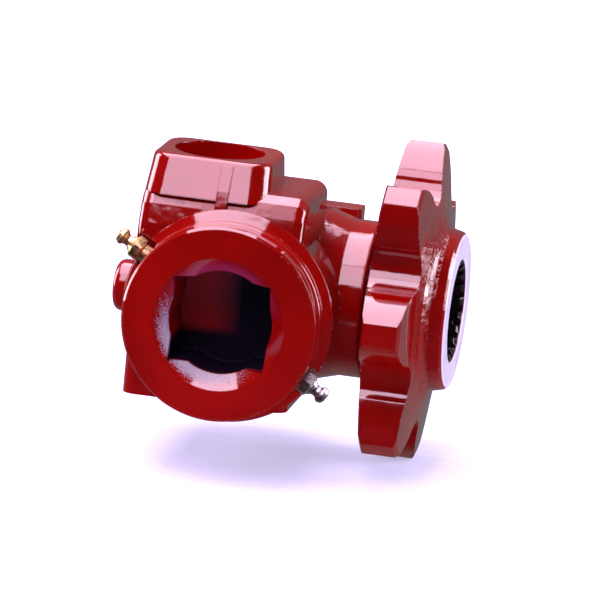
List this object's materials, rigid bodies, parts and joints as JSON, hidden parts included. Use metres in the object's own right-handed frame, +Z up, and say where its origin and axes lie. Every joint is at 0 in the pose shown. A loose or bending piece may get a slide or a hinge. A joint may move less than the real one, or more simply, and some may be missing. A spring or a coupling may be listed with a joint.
{
  "type": "right angle bevel gearbox",
  "caption": "Compact right angle bevel gearbox in a red cast housing, with a rectangular input socket, a chain sprocket on its output shaft, a pivot bore and a bolting foot.",
  "frame": {"origin": "where the input axis and the output axis cross, at the common apex of the bevel gears", "axes": "+X along the output shaft towards the sprocket, +Z up out of the pivot bore, and the input socket opens towards -Y"},
  "size_m": [0.1145, 0.125, 0.1122],
  "materials": {
    "paint": "gloss red enamel over cast iron",
    "steel": "machined",
    "hard_steel": "ground",
    "bronze": "turned bronze",
    "brass": "yellow zinc",
    "zinc": "bright zinc plate",
    "rubber": "matt nitrile",
    "gasket": "paper gasket",
    "copper": "soft copper",
    "black_steel": "black oxide"
  },
  "bodies": {
    "housing": {"gear_housing": "paint", "front_bush": "bronze", "front_seal": "rubber", "front_bearing_outer_ring": "hard_steel", "output_bearing_outer_ring": "hard_steel", "neck_circlip": "black_steel", "output_seal": "rubber", "side_bush": "bronze", "rear_gasket": "gasket", "rear_cover": "paint", "cover_screws": "zinc", "cover_washers": "zinc", "plug_washer": "copper", "filler_plug": "zinc", "grease_nipple_upper": "brass", "grease_nipple_lower": "zinc"},
    "input": {"input_hub": "paint", "input_bevel_gear": "hard_steel", "input_key": "steel", "input_spacer": "steel", "input_circlip": "black_steel", "front_bearing_inner_ring": "hard_steel"},
    "front_cage": {"front_bearing_balls": "hard_steel", "front_bearing_cage": "steel"},
    "output": {"output_shaft": "steel", "output_bevel_gear": "hard_steel", "output_key": "steel", "output_gear_circlip": "black_steel", "output_bearing_inner_ring": "hard_steel", "shaft_circlip": "black_steel", "chain_sprocket": "paint", "sprocket_set_screw": "black_steel"},
    "output_cage": {"output_bearing_balls": "hard_steel", "output_bearing_cage": "steel"}
  },
  "joints": [
    {"name": "output_spin", "type": "hinge", "parent": "housing", "child": "output", "pos_m": [0, 0, 0], "axis": [1, 0, 0], "continuous": true},
    {"name": "input_spin", "type": "hinge", "parent": "housing", "child": "input", "pos_m": [0, 0, 0], "axis": [0, 1, 0], "continuous": true},
    {"name": "front_cage_spin", "type": "hinge", "parent": "housing", "child": "front_cage", "pos_m": [0, 0, 0], "axis": [0, 1, 0], "continuous": true},
    {"name": "output_cage_spin", "type": "hinge", "parent": "housing", "child": "output_cage", "pos_m": [0, 0, 0], "axis": [1, 0, 0], "continuous": true}
  ],
  "couplings": [
    {"joint": "input_spin", "follows": "output_spin", "ratio": -1},
    {"joint": "front_cage_spin", "follows": "output_spin", "ratio": -0.3969},
    {"joint": "output_cage_spin", "follows": "output_spin", "ratio": 0.4118}
  ]
}
